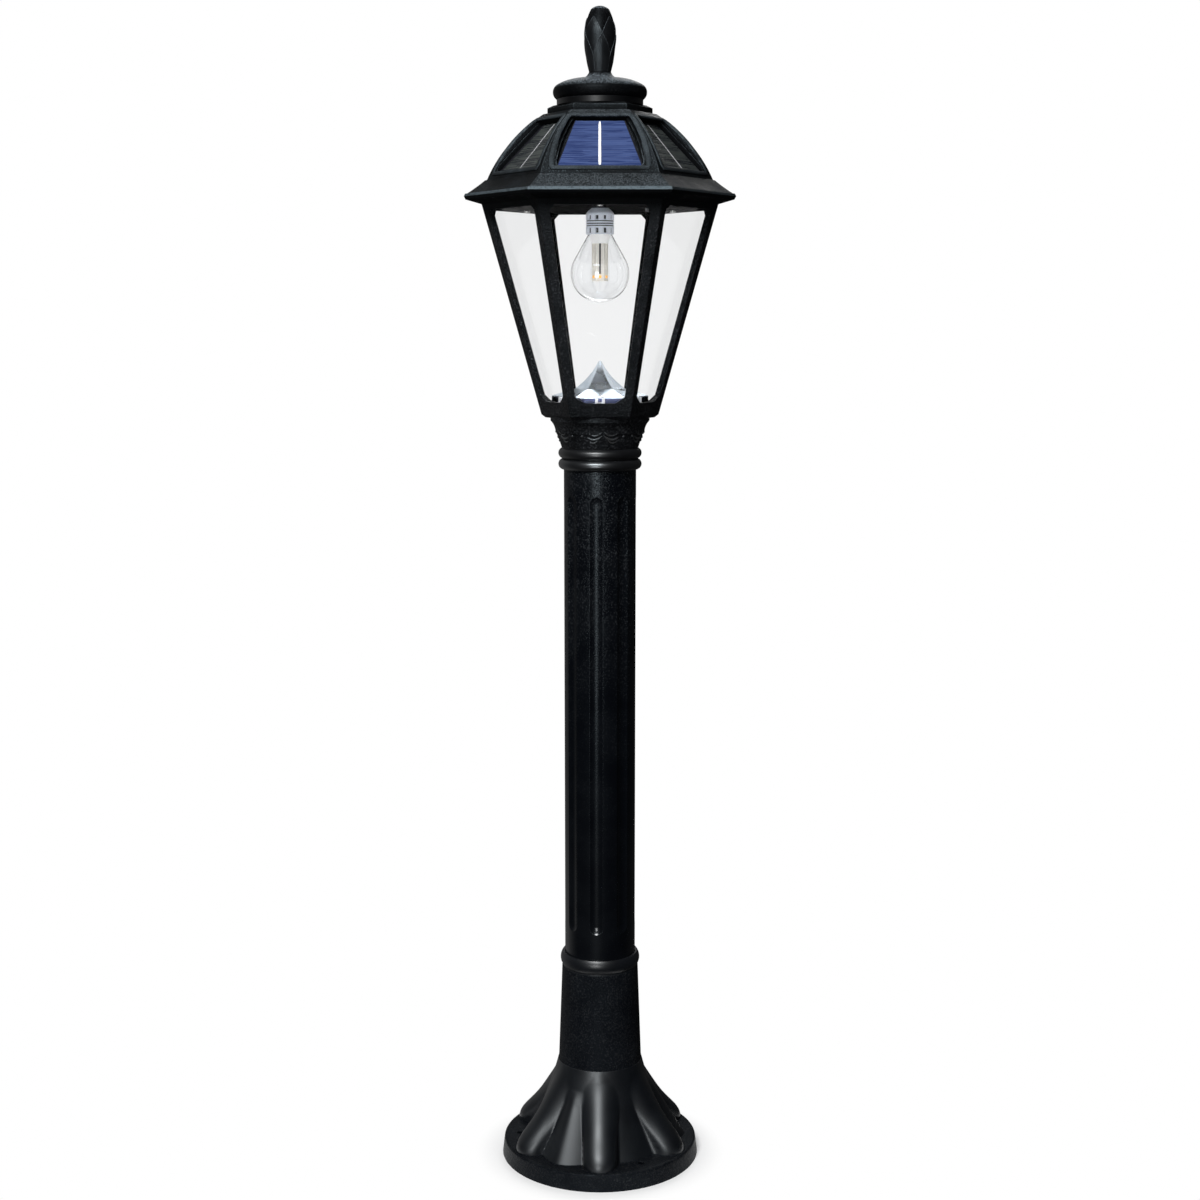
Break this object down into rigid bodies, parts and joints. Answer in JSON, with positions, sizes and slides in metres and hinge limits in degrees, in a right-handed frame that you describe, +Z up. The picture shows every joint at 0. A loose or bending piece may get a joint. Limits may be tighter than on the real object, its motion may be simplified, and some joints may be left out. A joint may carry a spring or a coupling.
{
  "type": "solar path light",
  "caption": "Tall garden path light: hexagonal glazed lantern with a ribbed solar roof on a fluted post and a lobed foot that bolts down.",
  "frame": {"origin": "middle of the foot on the ground", "axes": "+Z up the post, front facet of the lantern towards -Y, hexagon corners on +X and -X"},
  "size_m": [0.279, 0.2416, 1.2197],
  "materials": {
    "black_resin": "moulded resin with a leather grain, smooth and satin on foot, rings and finial",
    "clear_pane": "clear flat pane",
    "white_clip": "white moulded clip",
    "mirror_cone": "vacuum-metallised plastic",
    "solar_cell": "blue polycrystalline cell under a clear coat",
    "steel": "plated steel",
    "inner_plastic": "plain black moulding",
    "battery_wrap": "shrink-wrapped cell",
    "board_green": "circuit board lacquer",
    "bulb_clear": "clear bulb glass",
    "bulb_white": "white moulding",
    "cap_metal": "nickel-plated cap",
    "led_amber": "amber light chip"
  },
  "bodies": {
    "stand": {"base_foot": "black_resin", "post_tube": "black_resin", "post_collar": "black_resin", "post_screws": "steel", "lantern_frame": "black_resin", "pane_clips": "white_clip", "reflector_cone": "mirror_cone", "pane_1": "clear_pane", "pane_2": "clear_pane", "pane_3": "clear_pane", "pane_4": "clear_pane", "pane_5": "clear_pane", "pane_6": "clear_pane"},
    "roof": {"roof_shell": "black_resin", "finial": "black_resin", "finial_stud": "steel", "finial_nut": "steel", "ceiling_plate": "inner_plastic", "ceiling_screws": "steel", "lampholder": "inner_plastic", "battery_cell": "battery_wrap", "battery_cradle": "inner_plastic", "circuit_board": "board_green", "board_pillars": "inner_plastic", "switch_body": "inner_plastic", "solar_panel_1": "solar_cell", "solar_panel_2": "solar_cell", "solar_panel_3": "solar_cell", "solar_panel_4": "solar_cell", "solar_panel_5": "solar_cell", "solar_panel_6": "solar_cell"},
    "switch": {"switch_slider": "inner_plastic"},
    "bulb": {"bulb_glass": "bulb_clear", "bulb_collar": "bulb_white", "bulb_cap": "cap_metal", "bulb_contact": "cap_metal", "bulb_stem": "bulb_white", "led_column": "bulb_white", "led_chips": "led_amber"}
  },
  "joints": [
    {"name": "roof_lift", "type": "slide", "parent": "stand", "child": "roof", "axis": [0, 0, 1], "range_m": [0, 0.12]},
    {"name": "switch_slide", "type": "slide", "parent": "roof", "child": "switch", "axis": [0, 1, 0], "range_m": [0, 0.0046]},
    {"name": "bulb_turn", "type": "hinge", "parent": "roof", "child": "bulb", "pos_m": [0, 0, 1], "axis": [0, 0, -1], "range_deg": [0, 1080]}
  ]
}
